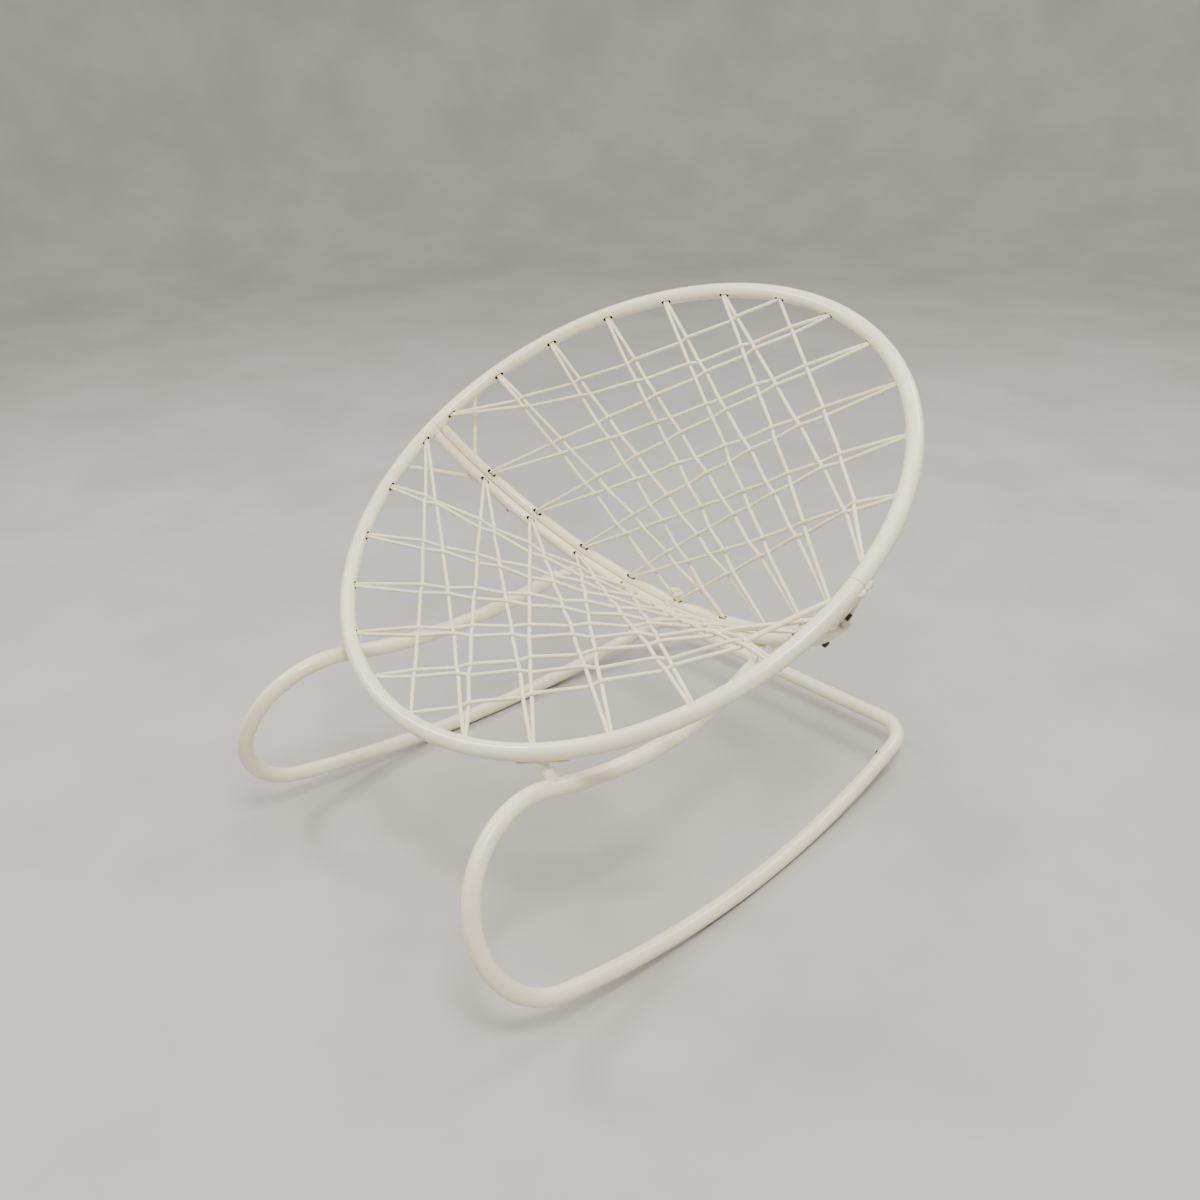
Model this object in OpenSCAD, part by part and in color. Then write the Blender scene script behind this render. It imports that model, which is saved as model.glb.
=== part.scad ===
/* [Hoop] */
// Radius of the hoop, to the middle of its tube
hoop_r = 460; // [430:5:490]
// Rise of the hoop from front to back, in degrees above level
hoop_tilt = 29.8; // [26:0.1:35]
// Height of the hoop's middle above the floor
hoop_height = 546; // [530:1:570]
// Distance from the middle of the footprint back to the hoop's middle
hoop_y = 52; // [30:0.5:60]
// Depth of the bowed crossbars below the hoop's plane
bow_depth = 294; // [270:1:310]
// Gap between the front and back halves of the hoop
seam_gap = 0.6; // [0.4:0.1:1.5]

/* [Tubes] */
// Outside diameter of the main tubes
tube_d = 25; // [22:0.5:28]
// Outside diameter of the bowed crossbars
bar_d = 18; // [16:0.5:20]
// Outside diameter of the stays under the crossbars
stay_d = 12; // [10:0.5:14]
// Diameter of the solid brace rods
brace_d = 8; // [6:0.5:10]
// Wall thickness of all the tubes
wall = 1.5; // [1.2:0.1:2]

/* [Side frames] */
// Half of the distance between the runners where they touch the floor
runner_x = 338.4; // [310:0.1:350]
// Inward lean of each side frame, in degrees from upright
side_lean = 20; // [12:0.1:24]
// Toe-in of each side frame towards the back, in degrees
side_toe = 3.1; // [0:0.1:5]
// Lowest point of the runners, measured back from the hoop's middle
runner_low = -1.8; // [-80:0.1:40]
// Rocking radius of the runners
rocker_r = 1764; // [1500:1:2200]
// Angle of runner in front of its lowest point
runner_front_angle = 13.4; // [11:0.1:15]
// Angle of runner behind its lowest point
runner_back_angle = 10.8; // [9:0.1:13]
// Radius of the front loop
loop_r = 134.2; // [125:0.1:145]
// Turn of the front loop, in degrees
loop_turn = 182.9; // [176:0.1:194]
// Straight between the loop and the arm
arm_straight = 13; // [10:1:40]
// Bend radius of the arm under the seat
arm_r = 734; // [640:1:820]
// Turn of the arm, in degrees
arm_turn = 32.2; // [28:0.1:36]

/* [Rear stretcher] */
// Length of each leg, from the slip joint to the corner
stretcher_leg = 92; // [80:1:110]
// Bend radius of the corners
stretcher_bend = 55; // [45:1:65]
// Length of the spigot inside each slip joint
spigot_length = 80; // [60:1:100]

/* [Lacing] */
// Diameter of the cord
cord_d = 6; // [5:0.5:7]
// Angle between neighbouring slots in the rim
rim_pitch = 14.26; // [14:0.01:14.5]
// Angle between neighbouring slots in a crossbar
bar_pitch = 12.55; // [12:0.01:13]
// Length of a slot
slot_length = 18; // [14:0.5:22]
// Width of a slot
slot_width = 7; // [7:0.5:8]

/* [Fixings] */
// Length of a saddle plate under the front rim
saddle_length = 80; // [70:1:90]
// Width of a saddle plate
saddle_width = 16; // [14:1:24]
// Thickness of the plates and tongues
plate = 3; // [2.5:0.5:4]
// Diameter of the front posts
post_d = 11; // [10:1:14]
// Shank diameter of the bolts
bolt_d = 6; // [5:0.5:6]
// Width of a bolt head across its flats
head_flats = 10; // [9:1:12]

/* [Hidden] */

$fn = 72;
BACK = 1;   // side of the seam towards +Y
SEAT = -1;  // side of the seam towards -Y
FRAME_COLOR = "ivory";
CORD_COLOR = "cornsilk";
STEEL_COLOR = "dimgray";

tube_r = tube_d / 2;
bar_r = bar_d / 2;
stay_r = stay_d / 2;
cord_r = cord_d / 2;
end_cap = 2;      // steel left closed at the end of a sealed tube
cut = 1;          // overshoot of a cutting solid
fit_gap = 0.1;    // radial clearance of a bolt or a spigot in its hole
join_gap = 0.2;   // by which two lengths of a bent rod stop short of their join

// The crossbars are arcs in upright planes of the hoop's own frame.
bow_r = (hoop_r * hoop_r + bow_depth * bow_depth) / (2 * bow_depth);
bow_z = bow_r - bow_depth;
bow_half_angle = asin(hoop_r / bow_r);
bar_y = bar_r + seam_gap / 2;
bar_end_angle = bow_half_angle - 0.3;  // just short of the rim's middle line

// A stay follows the seat's crossbar, on its outer side.
stay_clear = 0.3;
stay_bow_r = bow_r + bar_r + stay_clear + stay_r;
stay_low_angle = 27;
stay_high_angle = 54;
stay_bolt_angle = 43;
end_bolt_angles = [61, 56.5];  // on the sitter's right and left
brace_angle = 52.5;
brace_rim_angle = 12.5;
tongue_angle = 24;

saddle_rim_angle = -59.8;
saddle_bolt_reach = 31;
saddle_clear = 0.2;   // between the rim and a saddle plate
lug_d = 9;
lug_length = 9;

joint_angle = runner_back_angle;
side_y = hoop_y + runner_low;

// A full turn of a sweep takes enough sides to stay within a tenth of a millimetre of its arc
SECTION_SIDES = 48;
function sweep_sides(r) = max(72, ceil(PI * sqrt(r / 0.2)));

// Vector helpers
function unit(v) = v / norm(v);
function side_point(s, v) =
    let (
        up = v * cos(side_lean),
        inward = v * sin(side_lean)
    )
    [
        runner_x - inward * cos(side_toe) - s * sin(side_toe),
        side_y + s * cos(side_toe) - inward * sin(side_toe),
        tube_r + up
    ];
function hoop_point(p) = [
    p.x,
    hoop_y + p.y * cos(hoop_tilt) - p.z * sin(hoop_tilt),
    hoop_height + p.y * sin(hoop_tilt) + p.z * cos(hoop_tilt)
];
function bow_point(r, angle, y) = [r * sin(angle), y, bow_z - r * cos(angle)];
function rim_point(r, angle) = [r * cos(angle), r * sin(angle), 0];

// Ends of a side frame, as points in its own plane: s runs back, v runs up
runner_end = [rocker_r * sin(joint_angle), rocker_r * (1 - cos(joint_angle))];
function turn_step(p, heading, r, turn) =
    let (side = sign(turn))
    p + r * side * [sin(heading + turn) - sin(heading), cos(heading) - cos(heading + turn)];
front_heading = 180 - runner_front_angle;
runner_front = [-rocker_r * sin(runner_front_angle), rocker_r * (1 - cos(runner_front_angle))];
loop_end = turn_step(runner_front, front_heading, loop_r, -loop_turn);
loop_heading = front_heading - loop_turn;
arm_start = loop_end + arm_straight * [cos(loop_heading), sin(loop_heading)];
arm_end = turn_step(arm_start, loop_heading, arm_r, arm_turn);
arm_heading = loop_heading + arm_turn;

// Puts its children in the frame of the hoop: origin in its middle, +Z out of its plane
module in_hoop() {
    translate([0, hoop_y, hoop_height]) rotate([hoop_tilt, 0, 0]) children();
}

// Puts its children in the leaning plane of the left side frame: +X back, +Y up
module in_side() {
    translate([runner_x, side_y, tube_r])
        rotate([0, 0, side_toe]) rotate([0, -side_lean, 0]) rotate([90, 0, 90]) children();
}

// Mirrors a left-hand piece to the sitter's right
module on_side(side) {
    if (side == "left") children();
    if (side == "right") mirror([1, 0, 0]) children();
}

// Turns +Z to a direction and moves the origin to a point
module aim(from, direction) {
    d = unit(direction);
    translate(from) rotate([0, acos(d.z), atan2(d.y, d.x)]) children();
}

// Straight round rod between two points
module rod(from, to, d) {
    aim(from, to - from) cylinder(h = norm(to - from), d = d);
}

// Bent solid rod: each step is [straight length, bend radius, turn], and left turns are positive.
// The lengths stop just short of each other, and a shallow band at each join makes them one solid.
module bent_rod(steps, d, i = 0) {
    if (i < len(steps)) {
        length = steps[i][0];
        r = steps[i][1];
        turn = steps[i][2];
        side = sign(turn);
        short_angle = join_gap / r * 180 / PI;
        if (length > 0) translate([join_gap, 0, 0]) rotate([0, 90, 0]) cylinder(h = length - 2 * join_gap, d = d);
        translate([length, 0, 0]) {
            if (length > 0 && turn != 0) join_band(d);
            if (turn != 0) {
                start_angle = (side > 0 ? -90 : 90 + turn) + short_angle;
                translate([0, side * r, 0]) rotate([0, 0, start_angle])
                    rotate_extrude(angle = abs(turn) - 2 * short_angle, $fn = sweep_sides(r))
                        translate([r, 0]) circle(d = d, $fn = SECTION_SIDES);
            }
            translate([0, side * r, 0]) rotate([0, 0, turn]) translate([0, -side * r, 0]) {
                if (turn != 0 && i < len(steps) - 1) join_band(d);
                bent_rod(steps, d, i + 1);
            }
        }
    }
}

// Band over the join of two lengths of a bent rod
module join_band(d) {
    rotate([0, 90, 0]) cylinder(h = 6, d = d + 0.3, center = true);
}

// Bent tube, open at both ends
module bent_tube(steps, d) {
    first = steps[0];
    last = steps[len(steps) - 1];
    middle = [for (i = [1 : 1 : len(steps) - 2]) steps[i]];
    bore_start = [[first[0] + cut, first[1], first[2]]];
    bore_end = last[2] == 0 ? [[last[0] + cut, last[1], 0]] : [last, [cut, 1, 0]];
    difference() {
        bent_rod(steps, d);
        translate([-cut, 0, 0]) bent_rod(concat(bore_start, middle, bore_end), d - 2 * wall);
    }
}

// Solid arc about Z, of round section, between two angles
module ring_arc(r, d, from, to) {
    rotate([0, 0, from]) rotate_extrude(angle = to - from, $fn = sweep_sides(r))
        translate([r, 0]) circle(d = d, $fn = SECTION_SIDES);
}

// Sealed arc of tube about Z, between two angles
module tube_arc(r, d, from, to) {
    inset = end_cap / r * 180 / PI;
    difference() {
        ring_arc(r, d, from, to);
        ring_arc(r, d - 2 * wall, from + inset, to - inset);
    }
}

// Puts a flat arc in the upright plane of the crossbars, with angle 0 pointing down
module in_bow(y) {
    translate([0, y, bow_z]) rotate([90, 0, 0]) rotate([0, 0, -90]) children();
}

// Cutting solid of a slot that runs along X and is cut along Z
module slot_cutter() {
    travel = slot_length - slot_width;
    linear_extrude(tube_d) {
        square([travel, slot_width], center = true);
        for (x = [-travel / 2, travel / 2]) translate([x, 0]) circle(d = slot_width);
    }
}

// Hexagon bolt and washer: the shank runs along +Z from the washer's seat
module bolt(shank) {
    head_height = bolt_d * 0.65;
    washer = 1;
    translate([0, 0, -washer]) cylinder(h = washer, d = 2 * bolt_d);
    translate([0, 0, -washer - head_height]) cylinder(h = head_height + cut / 4, d = head_flats / cos(30), $fn = 6);
    translate([0, 0, -cut / 2]) cylinder(h = shank + cut / 2, d = bolt_d);
}

// ---- Hoop ----

// Slots on the inner side of a half rim, between angle 0 and 180
module rim_slots() {
    for (k = [-6 : 6])
        rotate([0, 0, 90 + k * rim_pitch])
            translate([hoop_r, 0, 0]) rotate([0, -90, 0]) rotate([0, 0, 90]) slot_cutter();
}

// Small welded lug that closes the outer side of a rim's end
module rim_lug(x_side) {
    translate([x_side * (hoop_r + tube_r - 1), lug_length / 2 + 2, -tube_r * 0.45])
        rotate([90, 0, 0]) cylinder(h = lug_length, d = lug_d, center = true);
}

// Half of the hoop's rim, on the +Y side of the seam
module half_rim() {
    gap_angle = seam_gap / 2 / hoop_r * 180 / PI;
    difference() {
        union() {
            tube_arc(hoop_r, tube_d, gap_angle, 180 - gap_angle);
            difference() {
                for (side = [-1, 1]) rim_lug(side);
                ring_arc(hoop_r, tube_d - wall, 0, 10);
                ring_arc(hoop_r, tube_d - wall, 170, 180);
            }
        }
        rim_slots();
    }
}

module back_rim() {
    color(FRAME_COLOR) in_hoop() half_rim();
}

module seat_rim() {
    color(FRAME_COLOR) in_hoop() difference() {
        rotate([0, 0, 180]) half_rim();
        for (x_side = [-1, 1]) saddle_holes(x_side, tube_d * 0.9);
    }
}

// Bowed crossbar on one side of the seam: its ends are welded into the rim, and it is slotted on
// its inner side
module crossbar(side) {
    in_hoop() difference() {
        in_bow(side * bar_y) tube_arc(bow_r, bar_d, -bar_end_angle, bar_end_angle);
        for (k = [-4 : 4])
            in_bow(side * bar_y) rotate([0, 0, k * bar_pitch])
                translate([bow_r, 0, 0]) rotate([0, -90, 0]) rotate([0, 0, 90]) slot_cutter();
        for (x_side = [-1, 1]) tongue_holes(x_side);
        if (side == SEAT) bow_bolt_holes();
    }
}

module back_crossbar() {
    color(FRAME_COLOR) crossbar(BACK);
}

module seat_crossbar() {
    color(FRAME_COLOR) crossbar(SEAT);
}

// ---- Side frames and stretcher ----

module side_frame(side) {
    steps = [
        [0, rocker_r, -(joint_angle + runner_front_angle)],
        [0, loop_r, -loop_turn],
        [arm_straight, arm_r, arm_turn]
    ];
    color(FRAME_COLOR) on_side(side) difference() {
        in_side() translate([runner_end.x, runner_end.y, 0])
            rotate([0, 0, 180 + joint_angle]) bent_tube(steps, tube_d);
        spigot_screw_hole();
    }
}

module side_frame_left() {
    side_frame("left");
}

module side_frame_right() {
    side_frame("right");
}

// The slip joint's middle and the direction of the stretcher's leg
joint_point = side_point(runner_end.x, runner_end.y);
leg_direction = side_point(runner_end.x + cos(joint_angle), runner_end.y + sin(joint_angle)) - joint_point;
corner_point = joint_point + stretcher_leg * leg_direction;
corner_turn = acos(-leg_direction.x);
corner_setback = stretcher_bend * tan(corner_turn / 2);

// The stretcher is flat: both legs and the cross tube lie in one plane through the X direction
module rear_stretcher() {
    joint_gap = 1.2;
    plane_tilt = atan2(leg_direction.z, leg_direction.y);
    leg = stretcher_leg - joint_gap - corner_setback;
    cross_tube = 2 * (corner_point.x - corner_setback);
    steps = [[leg, stretcher_bend, corner_turn], [cross_tube, stretcher_bend, corner_turn], [leg, 1, 0]];
    color(FRAME_COLOR) difference() {
        translate(joint_point + joint_gap * leg_direction)
            rotate([plane_tilt, 0, 0]) rotate([0, 0, acos(leg_direction.x)]) bent_tube(steps, tube_d);
        spigot_screw_hole();
        mirror([1, 0, 0]) spigot_screw_hole();
    }
}

screw_setback = 11;  // from the slip joint to its screw

// Spigot tube that plugs into the runner and into the stretcher's leg
module spigot(side) {
    reach = spigot_length / 2;
    outer = tube_d - 2 * wall - 2 * fit_gap;
    color(FRAME_COLOR) on_side(side) difference() {
        rod(joint_point - reach * leg_direction, joint_point + reach * leg_direction, outer);
        rod(
            joint_point - (reach + cut) * leg_direction,
            joint_point + (reach + cut) * leg_direction,
            outer - 2 * wall
        );
        spigot_screw_hole();
    }
}

module spigot_left() {
    spigot("left");
}

module spigot_right() {
    spigot("right");
}

// Screws of the slip joint enter from the inner face of the stretcher's leg
screw_seat = joint_point + screw_setback * leg_direction + [-tube_r, 0, 0];
module spigot_screw_hole() {
    rod(screw_seat - [2, 0, 0], screw_seat + [tube_r, 0, 0], bolt_d * 0.7 + 2 * fit_gap);
}

module spigot_screws() {
    screw_d = bolt_d * 0.7;
    color(STEEL_COLOR) for (side = ["left", "right"]) on_side(side) {
        aim(screw_seat - [2.2, 0, 0], [1, 0, 0]) cylinder(h = 2.4, d = screw_d * 2);
        rod(screw_seat, screw_seat + [9, 0, 0], screw_d);
    }
}

// ---- Front posts and saddles ----

// Puts its children under the front rim: origin on the rim's underside, +X along the rim
module at_saddle(x_side) {
    angle = x_side > 0 ? saddle_rim_angle : -180 - saddle_rim_angle;
    in_hoop() rotate([0, 0, angle]) translate([hoop_r, 0, -tube_r - saddle_clear]) rotate([0, 0, 90]) children();
}

module saddle_holes(x_side, reach) {
    angle = x_side > 0 ? saddle_rim_angle : -180 - saddle_rim_angle;
    rotate([0, 0, angle]) translate([hoop_r, 0, -tube_r - saddle_clear]) rotate([0, 0, 90])
        for (x = [-saddle_bolt_reach, saddle_bolt_reach])
            translate([x, x * x / 2 / hoop_r, -2 * plate]) cylinder(h = reach, d = bolt_d + 2 * fit_gap);
}

module front_saddle(side) {
    x_side = side == "left" ? 1 : -1;
    corner = 5;
    color(FRAME_COLOR) difference() {
        at_saddle(x_side) translate([0, 0, -plate]) linear_extrude(plate) {
            square([saddle_length - 2 * corner, saddle_width], center = true);
            square([saddle_length, saddle_width - 2 * corner], center = true);
            for (x = [-1, 1], y = [-1, 1])
                translate([x * (saddle_length / 2 - corner), y * (saddle_width / 2 - corner)]) circle(corner);
        }
        in_hoop() saddle_holes(x_side, tube_d);
    }
}

module front_saddle_left() {
    front_saddle("left");
}

module front_saddle_right() {
    front_saddle("right");
}

module front_bolts() {
    color(STEEL_COLOR) for (x_side = [-1, 1]) at_saddle(x_side)
        for (x = [-saddle_bolt_reach, saddle_bolt_reach])
            translate([x, x * x / 2 / hoop_r, -plate]) bolt(plate + 9);
}

// Foot of the post on the loop's crown, and its head under the saddle
post_foot = side_point(arm_start.x - 4, arm_start.y + 8);
post_head = hoop_point(rim_point(hoop_r, saddle_rim_angle) + [0, 0, -tube_r - saddle_clear - plate]);

module front_post(side) {
    collar_d = post_d * 1.7;
    axis = unit(post_head - post_foot);
    color(FRAME_COLOR) on_side(side) difference() {
        union() {
            rod(post_foot, post_head + 4 * axis, post_d);
            rod(post_head - 6 * axis, post_head + 6 * axis, collar_d);
            rod(post_foot, post_foot + (tube_r + 7) * axis, collar_d);
        }
        in_side() translate([arm_start.x, arm_start.y, 0]) rotate([0, 0, loop_heading + 180])
            bent_rod([[arm_straight, loop_r, 60]], tube_d);
        in_side() translate([arm_start.x, arm_start.y, 0]) rotate([0, 0, loop_heading])
            bent_rod([[0, arm_r, 10]], tube_d);
        at_saddle(1) translate([0, 0, tube_d / 2 - plate])
            cube([2 * saddle_length, 3 * saddle_width, tube_d], center = true);
    }
}

module front_post_left() {
    front_post("left");
}

module front_post_right() {
    front_post("right");
}

// ---- Tongues that carry the crossbars ----

// Puts its children under the crossbars: +Z points at the middle of the bow, +Y back
module at_tongue(x_side) {
    r = bow_r + bar_r + 0.3;
    in_bow(0) rotate([0, 0, x_side * tongue_angle]) translate([r, 0, 0])
        rotate([0, -90, 0]) rotate([0, 0, -90]) children();
}

tongue_pad = [30, 44];
tongue_bolt_y = bar_y;

module tongue_holes(x_side) {
    at_tongue(x_side) for (y = [-tongue_bolt_y, tongue_bolt_y])
        translate([0, y, -2 * plate]) cylinder(h = 2 * plate + bar_r, d = bolt_d + 2 * fit_gap);
}

module tongue_bolts() {
    color(STEEL_COLOR) in_hoop() for (x_side = [-1, 1]) at_tongue(x_side)
        for (y = [-tongue_bolt_y, tongue_bolt_y]) translate([0, y, -plate]) bolt(plate + 6);
}

tongue_spigot_d = tube_d - 2 * wall - 2 * fit_gap;
arm_tip = side_point(arm_end.x, arm_end.y);
arm_direction = side_point(arm_end.x + cos(arm_heading), arm_end.y + sin(arm_heading)) - arm_tip;
tongue_root = hoop_point(bow_point(bow_r + bar_r + plate / 2, tongue_angle, -tongue_pad.y / 2));

// Plug in the arm's mouth, a neck that rises from it, and the flat pad bolted to the crossbars
module arm_tongue(side) {
    plug = 30;
    neck_d = 15;
    mouth = arm_tip + 6 * arm_direction;
    color(FRAME_COLOR) on_side(side) difference() {
        union() {
            rod(arm_tip - plug * arm_direction, mouth, tongue_spigot_d);
            rod(mouth - 8 * arm_direction, tongue_root, neck_d);
            translate(tongue_root) sphere(d = neck_d + 1.5);
            in_hoop() at_tongue(1) translate([0, 0, -plate / 2])
                cube([tongue_pad.x, tongue_pad.y, plate], center = true);
        }
        in_hoop() at_tongue(1) translate([0, 0, tube_d / 2]) cube([80, 90, tube_d], center = true);
        in_hoop() tongue_holes(1);
    }
}

module arm_tongue_left() {
    arm_tongue("left");
}

module arm_tongue_right() {
    arm_tongue("right");
}

// ---- Stays and braces ----

function end_bolt_angle(x_side) = end_bolt_angles[x_side > 0 ? 1 : 0];

// Puts its children at a height over the seat crossbar's outer side, with +Z into the crossbar
module at_bow_bolt(x_side, angle, height) {
    in_bow(-bar_y) rotate([0, 0, x_side * angle]) translate([bow_r + bar_r + height, 0, 0])
        rotate([0, -90, 0]) children();
}

module bow_bolt_holes() {
    for (x_side = [-1, 1], angle = [stay_bolt_angle, end_bolt_angle(x_side)])
        at_bow_bolt(x_side, angle, cut) cylinder(h = bar_r + cut, d = bolt_d + 2 * fit_gap);
}

module stay(side) {
    x_side = side == "left" ? 1 : -1;
    low = x_side * stay_low_angle;
    high = x_side * stay_high_angle;
    color(FRAME_COLOR) in_hoop() difference() {
        in_bow(-bar_y) tube_arc(stay_bow_r, stay_d, min(low, high), max(low, high));
        at_bow_bolt(x_side, stay_bolt_angle, stay_d + cut)
            cylinder(h = stay_d + 2 * cut, d = bolt_d + 2 * fit_gap);
    }
}

module stay_left() {
    stay("left");
}

module stay_right() {
    stay("right");
}

module stay_bolts() {
    grip = bar_r - 1;
    color(STEEL_COLOR) in_hoop() for (x_side = [-1, 1]) {
        at_bow_bolt(x_side, stay_bolt_angle, stay_d + stay_clear) bolt(stay_d + grip);
        at_bow_bolt(x_side, end_bolt_angle(x_side), 0) bolt(grip);
    }
}

// Rod from the stay up to the underside of one half rim
module brace(side, half) {
    x_side = side == "left" ? 1 : -1;
    rim_angle = x_side > 0 ? half * brace_rim_angle : 180 - half * brace_rim_angle;
    foot = bow_point(stay_bow_r, x_side * brace_angle, -bar_y);
    top = rim_point(hoop_r, rim_angle);
    direction = unit(top - foot);
    color(FRAME_COLOR) in_hoop() difference() {
        rod(foot + half * [0, stay_r * 0.5, 0], top - (tube_r - 1) * direction, brace_d);
        in_bow(-bar_y) ring_arc(stay_bow_r, stay_d - wall, -stay_high_angle - 2, stay_high_angle + 2);
        for (bar_side = [BACK, SEAT])
            in_bow(bar_side * bar_y) ring_arc(bow_r, bar_d, -bow_half_angle, bow_half_angle);
        translate([-hoop_r * 2, half > 0 ? -10 * tube_d - bar_y : -bar_y, -hoop_r])
            cube([4 * hoop_r, 10 * tube_d, 2 * hoop_r]);
    }
}

module brace_back_left() {
    brace("left", BACK);
}

module brace_back_right() {
    brace("right", BACK);
}

module brace_seat_left() {
    brace("left", SEAT);
}

module brace_seat_right() {
    brace("right", SEAT);
}

// ---- Lacing ----

// The cord's route through the slots: rim slots are 1 to 13 and crossbar slots -1 to -9, from the
// sitter's right. Part A ends and part B starts at the middle of the rim.
ROUTE_A = [-5, 2, -6, 3, -7, 4, -8, 5, -9, 6, 13, 7];
ROUTE_B = [7, 1, 8, -1, 9, -2, 10, -3, 11, -4, 12, -5];

hook_rim_r = hoop_r - tube_r - cord_r + 0.8;
hook_bar_r = bow_r - bar_r - cord_r + 0.8;
strand_shift = cord_r + 1.5;  // two strands share a slot side by side
strand_trim = 10;              // a strand's round end stops short of the slot's lip

function hook(k) = k > 0
    ? rim_point(hook_rim_r, 90 + (7 - k) * rim_pitch)
    : bow_point(hook_bar_r, (-k - 5) * bar_pitch, bar_y + 3);
function hook_tangent(k) = k > 0
    ? [sin(90 + (7 - k) * rim_pitch), -cos(90 + (7 - k) * rim_pitch), 0]
    : [cos((-k - 5) * bar_pitch), 0, sin((-k - 5) * bar_pitch)];
// Which side of its hook a strand lies on, so that two strands on one hook lie side by side
function lean_along(k, to) = hook_tangent(k) * unit(hook(to) - hook(k));
function strand_side(route, i, to) =
    let (
        other = to > i ? i - 1 : i + 1,
        here = lean_along(route[i], route[to]),
        there = other < 0 || other >= len(route) ? 0 : lean_along(route[i], route[other])
    )
    here > there ? 1 : -1;
function strand_end(route, i, to) =
    hook(route[i]) + strand_side(route, i, to) * strand_shift * hook_tangent(route[i]);
module strand(from, to) {
    inset = strand_trim * unit(to - from);
    rod(from + inset, to - inset, cord_d);
}

module strands(route, half) {
    color(CORD_COLOR) in_hoop() mirror([0, half > 0 ? 0 : 1, 0])
        for (i = [0 : len(route) - 2])
            strand(strand_end(route, i, i + 1), strand_end(route, i + 1, i));
}

module knot(half) {
    color(CORD_COLOR) in_hoop() translate(bow_point(hook_bar_r - 13, 0, half * (bar_y + 6)))
        sphere(d = 2.6 * cord_d);
}

module back_cord_a() {
    strands(ROUTE_A, BACK);
}

module back_cord_b() {
    strands(ROUTE_B, BACK);
}

module back_knot() {
    knot(BACK);
}

module seat_cord_a() {
    strands(ROUTE_A, SEAT);
}

module seat_cord_b() {
    strands(ROUTE_B, SEAT);
}

module seat_knot() {
    knot(SEAT);
}

back_rim();
back_crossbar();
seat_rim();
seat_crossbar();
side_frame_left();
side_frame_right();
rear_stretcher();
spigot_left();
spigot_right();
spigot_screws();
front_post_left();
front_post_right();
front_saddle_left();
front_saddle_right();
front_bolts();
arm_tongue_left();
arm_tongue_right();
tongue_bolts();
stay_left();
stay_right();
stay_bolts();
brace_back_left();
brace_back_right();
brace_seat_left();
brace_seat_right();
back_cord_a();
back_cord_b();
back_knot();
seat_cord_a();
seat_cord_b();
seat_knot();
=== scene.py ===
"""Looks of a laced camp rocking chair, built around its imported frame.

The chair is a round hoop in two halves, each strung with one cord between its rim and its own
bowed crossbar, on two bent tube rockers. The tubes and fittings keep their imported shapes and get
painted here. The lacing, knots, welds and slot lips are modelled here.
"""

from __future__ import annotations

import logging
import math
from dataclasses import dataclass, field
from enum import Enum
from typing import Iterable, Sequence

import bpy
import numpy as np
from mathutils import Matrix, Vector
from mathutils.bvhtree import BVHTree

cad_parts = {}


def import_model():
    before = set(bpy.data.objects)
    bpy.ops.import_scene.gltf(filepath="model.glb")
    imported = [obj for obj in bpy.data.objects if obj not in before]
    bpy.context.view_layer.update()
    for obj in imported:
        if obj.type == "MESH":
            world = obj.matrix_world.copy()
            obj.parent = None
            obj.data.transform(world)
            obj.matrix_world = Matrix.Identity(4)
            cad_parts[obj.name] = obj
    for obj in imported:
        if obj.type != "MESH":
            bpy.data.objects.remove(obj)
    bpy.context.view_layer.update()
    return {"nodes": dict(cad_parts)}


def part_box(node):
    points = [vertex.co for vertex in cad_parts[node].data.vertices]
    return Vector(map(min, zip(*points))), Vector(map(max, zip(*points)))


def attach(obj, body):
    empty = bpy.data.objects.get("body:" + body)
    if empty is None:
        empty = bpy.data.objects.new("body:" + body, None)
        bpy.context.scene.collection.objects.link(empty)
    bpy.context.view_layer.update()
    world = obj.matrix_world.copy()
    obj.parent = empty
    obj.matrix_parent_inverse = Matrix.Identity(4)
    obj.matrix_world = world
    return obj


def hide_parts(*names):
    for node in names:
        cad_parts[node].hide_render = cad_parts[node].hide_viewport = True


LOG = logging.getLogger("rocking_chair")
BODY = "root"
MM = 0.001
SEED = 24


class Half(Enum):
    """The two halves of the hoop, by the sign of their side of the seam."""

    BACK = 1
    SEAT = -1


class Slot(Enum):
    """The record's material slot names; no piece here uses them."""

    PAINT = "frame_paint"
    CORD = "lacing_cord"


# ---- Shader maths ----


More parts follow.
